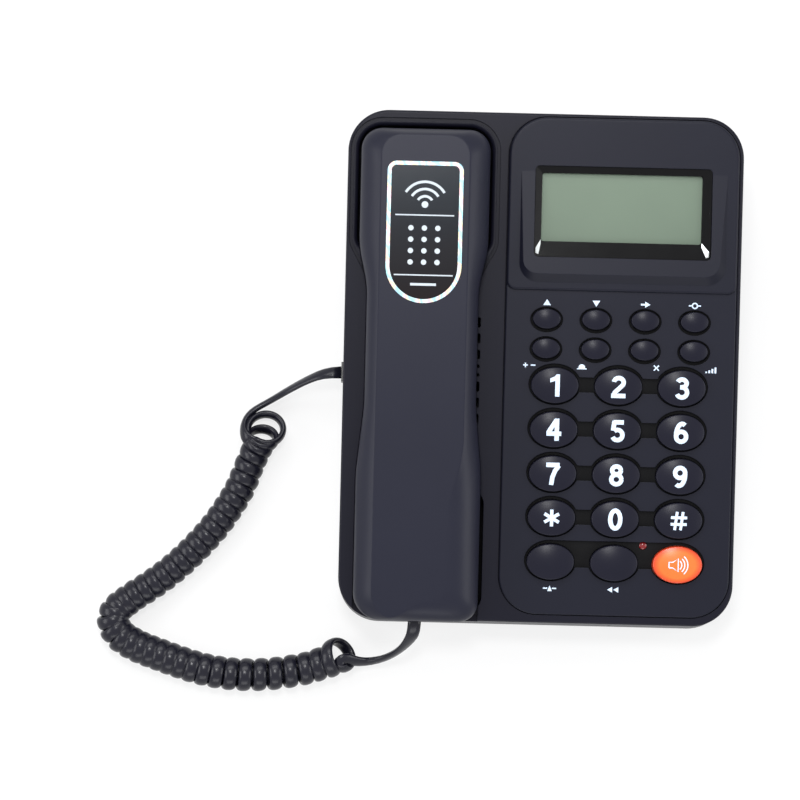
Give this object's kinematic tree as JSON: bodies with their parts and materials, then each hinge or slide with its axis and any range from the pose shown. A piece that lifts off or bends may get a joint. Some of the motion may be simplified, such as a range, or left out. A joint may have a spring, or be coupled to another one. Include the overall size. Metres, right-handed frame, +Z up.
{
  "type": "corded telephone",
  "caption": "Desk telephone with a sloping base, push-button keypad, large display, handset in a cradle on its left and a curly cord.",
  "frame": {"origin": "on the table under the middle of the base", "axes": "+Y from the front of the base to its raised rear, +Z up, +X to the user's right"},
  "size_m": [0.2504, 0.2268, 0.0666],
  "materials": {
    "housing": "satin charcoal",
    "panel": "satin charcoal",
    "handset": "satin charcoal",
    "keys": "semi-gloss charcoal",
    "orange_key": "semi-gloss orange",
    "window": "clear, polished",
    "display": "grey-green display",
    "label": "glossy dark film with a silver edge",
    "black_plastic": "matt black",
    "rubber": "matt",
    "board": "green laminate",
    "steel": "plated",
    "cell": "plain printed sleeve",
    "lamp": "tinted red",
    "plug": "clear moulded plastic",
    "cord": "satin black"
  },
  "bodies": {
    "base": {"base_lower_shell": "housing", "base_upper_shell": "housing", "base_feet": "rubber", "case_screws": "steel", "battery_cells": "cell", "battery_contacts": "steel", "keypad_panel": "panel", "display_window": "window", "display_glass": "display", "display_holder": "black_plastic", "keypad_mat": "rubber", "keypad_board": "board", "call_lamp": "lamp", "main_board": "board", "board_screws": "steel", "hook_switch": "board", "hook_spring": "steel", "loudspeaker": "black_plastic", "handsfree_microphone": "black_plastic", "cord_jack": "black_plastic", "base_plug": "plug", "line_jack": "black_plastic", "cord_base_lead": "cord", "cord_coil": "cord", "cord_handset_lead": "cord"},
    "handset": {"handset_outer_shell": "handset", "handset_inner_shell": "handset", "handset_screws": "steel", "handset_receiver": "black_plastic", "handset_microphone": "rubber", "handset_weight": "steel", "handset_socket": "black_plastic", "handset_plug": "plug", "handset_label": "label"},
    "hook_plunger": {"hook_plunger": "black_plastic"},
    "battery_door": {"battery_door": "housing"},
    "key_1": {"key_1": "keys"},
    "key_2": {"key_2": "keys"},
    "key_3": {"key_3": "keys"},
    "key_4": {"key_4": "keys"},
    "key_5": {"key_5": "keys"},
    "key_6": {"key_6": "keys"},
    "key_7": {"key_7": "keys"},
    "key_8": {"key_8": "keys"},
    "key_9": {"key_9": "keys"},
    "key_star": {"key_star": "keys"},
    "key_0": {"key_0": "keys"},
    "key_hash": {"key_hash": "keys"},
    "key_flash": {"key_flash": "keys"},
    "key_redial": {"key_redial": "keys"},
    "key_talk": {"key_talk": "orange_key"},
    "key_up": {"key_up": "keys"},
    "key_down": {"key_down": "keys"},
    "key_out": {"key_out": "keys"},
    "key_set": {"key_set": "keys"},
    "key_calculator": {"key_calculator": "keys"},
    "key_ring": {"key_ring": "keys"},
    "key_delete": {"key_delete": "keys"},
    "key_volume": {"key_volume": "keys"}
  },
  "joints": [
    {"name": "handset_lift", "type": "slide", "parent": "base", "child": "handset", "axis": [0, -0.1305, 0.9914], "range_m": [0, 0.08], "deforming": ["cord_base_lead", "cord_coil", "cord_handset_lead"]},
    {"name": "hook_rise", "type": "slide", "parent": "base", "child": "hook_plunger", "axis": [0, -0.1305, 0.9914], "range_m": [0, 0.004], "deforming": ["hook_spring"]},
    {"name": "battery_door_slide", "type": "slide", "parent": "base", "child": "battery_door", "axis": [0, 1, 0], "range_m": [0, 0.006]},
    {"name": "key_1_press", "type": "slide", "parent": "base", "child": "key_1", "axis": [0, 0.1305, -0.9914], "range_m": [0, 0.0016], "stiffness_N_per_m": 250, "springref_m": -0.0008, "deforming": ["keypad_mat"]},
    {"name": "key_2_press", "type": "slide", "parent": "base", "child": "key_2", "axis": [0, 0.1305, -0.9914], "range_m": [0, 0.0016], "stiffness_N_per_m": 250, "springref_m": -0.0008, "deforming": ["keypad_mat"]},
    {"name": "key_3_press", "type": "slide", "parent": "base", "child": "key_3", "axis": [0, 0.1305, -0.9914], "range_m": [0, 0.0016], "stiffness_N_per_m": 250, "springref_m": -0.0008, "deforming": ["keypad_mat"]},
    {"name": "key_4_press", "type": "slide", "parent": "base", "child": "key_4", "axis": [0, 0.1305, -0.9914], "range_m": [0, 0.0016], "stiffness_N_per_m": 250, "springref_m": -0.0008, "deforming": ["keypad_mat"]},
    {"name": "key_5_press", "type": "slide", "parent": "base", "child": "key_5", "axis": [0, 0.1305, -0.9914], "range_m": [0, 0.0016], "stiffness_N_per_m": 250, "springref_m": -0.0008, "deforming": ["keypad_mat"]},
    {"name": "key_6_press", "type": "slide", "parent": "base", "child": "key_6", "axis": [0, 0.1305, -0.9914], "range_m": [0, 0.0016], "stiffness_N_per_m": 250, "springref_m": -0.0008, "deforming": ["keypad_mat"]},
    {"name": "key_7_press", "type": "slide", "parent": "base", "child": "key_7", "axis": [0, 0.1305, -0.9914], "range_m": [0, 0.0016], "stiffness_N_per_m": 250, "springref_m": -0.0008, "deforming": ["keypad_mat"]},
    {"name": "key_8_press", "type": "slide", "parent": "base", "child": "key_8", "axis": [0, 0.1305, -0.9914], "range_m": [0, 0.0016], "stiffness_N_per_m": 250, "springref_m": -0.0008, "deforming": ["keypad_mat"]},
    {"name": "key_9_press", "type": "slide", "parent": "base", "child": "key_9", "axis": [0, 0.1305, -0.9914], "range_m": [0, 0.0016], "stiffness_N_per_m": 250, "springref_m": -0.0008, "deforming": ["keypad_mat"]},
    {"name": "key_star_press", "type": "slide", "parent": "base", "child": "key_star", "axis": [0, 0.1305, -0.9914], "range_m": [0, 0.0016], "stiffness_N_per_m": 250, "springref_m": -0.0008, "deforming": ["keypad_mat"]},
    {"name": "key_0_press", "type": "slide", "parent": "base", "child": "key_0", "axis": [0, 0.1305, -0.9914], "range_m": [0, 0.0016], "stiffness_N_per_m": 250, "springref_m": -0.0008, "deforming": ["keypad_mat"]},
    {"name": "key_hash_press", "type": "slide", "parent": "base", "child": "key_hash", "axis": [0, 0.1305, -0.9914], "range_m": [0, 0.0016], "stiffness_N_per_m": 250, "springref_m": -0.0008, "deforming": ["keypad_mat"]},
    {"name": "key_flash_press", "type": "slide", "parent": "base", "child": "key_flash", "axis": [0, 0.1305, -0.9914], "range_m": [0, 0.0016], "stiffness_N_per_m": 250, "springref_m": -0.0008, "deforming": ["keypad_mat"]},
    {"name": "key_redial_press", "type": "slide", "parent": "base", "child": "key_redial", "axis": [0, 0.1305, -0.9914], "range_m": [0, 0.0016], "stiffness_N_per_m": 250, "springref_m": -0.0008, "deforming": ["keypad_mat"]},
    {"name": "key_talk_press", "type": "slide", "parent": "base", "child": "key_talk", "axis": [0, 0.1305, -0.9914], "range_m": [0, 0.0016], "stiffness_N_per_m": 250, "springref_m": -0.0008, "deforming": ["keypad_mat"]},
    {"name": "key_up_press", "type": "slide", "parent": "base", "child": "key_up", "axis": [0, 0.1305, -0.9914], "range_m": [0, 0.0016], "stiffness_N_per_m": 250, "springref_m": -0.0008, "deforming": ["keypad_mat"]},
    {"name": "key_down_press", "type": "slide", "parent": "base", "child": "key_down", "axis": [0, 0.1305, -0.9914], "range_m": [0, 0.0016], "stiffness_N_per_m": 250, "springref_m": -0.0008, "deforming": ["keypad_mat"]},
    {"name": "key_out_press", "type": "slide", "parent": "base", "child": "key_out", "axis": [0, 0.1305, -0.9914], "range_m": [0, 0.0016], "stiffness_N_per_m": 250, "springref_m": -0.0008, "deforming": ["keypad_mat"]},
    {"name": "key_set_press", "type": "slide", "parent": "base", "child": "key_set", "axis": [0, 0.1305, -0.9914], "range_m": [0, 0.0016], "stiffness_N_per_m": 250, "springref_m": -0.0008, "deforming": ["keypad_mat"]},
    {"name": "key_calculator_press", "type": "slide", "parent": "base", "child": "key_calculator", "axis": [0, 0.1305, -0.9914], "range_m": [0, 0.0016], "stiffness_N_per_m": 250, "springref_m": -0.0008, "deforming": ["keypad_mat"]},
    {"name": "key_ring_press", "type": "slide", "parent": "base", "child": "key_ring", "axis": [0, 0.1305, -0.9914], "range_m": [0, 0.0016], "stiffness_N_per_m": 250, "springref_m": -0.0008, "deforming": ["keypad_mat"]},
    {"name": "key_delete_press", "type": "slide", "parent": "base", "child": "key_delete", "axis": [0, 0.1305, -0.9914], "range_m": [0, 0.0016], "stiffness_N_per_m": 250, "springref_m": -0.0008, "deforming": ["keypad_mat"]},
    {"name": "key_volume_press", "type": "slide", "parent": "base", "child": "key_volume", "axis": [0, 0.1305, -0.9914], "range_m": [0, 0.0016], "stiffness_N_per_m": 250, "springref_m": -0.0008, "deforming": ["keypad_mat"]}
  ],
  "couplings": [
    {"joint": "hook_rise", "follows": "handset_lift", "ratio": 0.05}
  ]
}
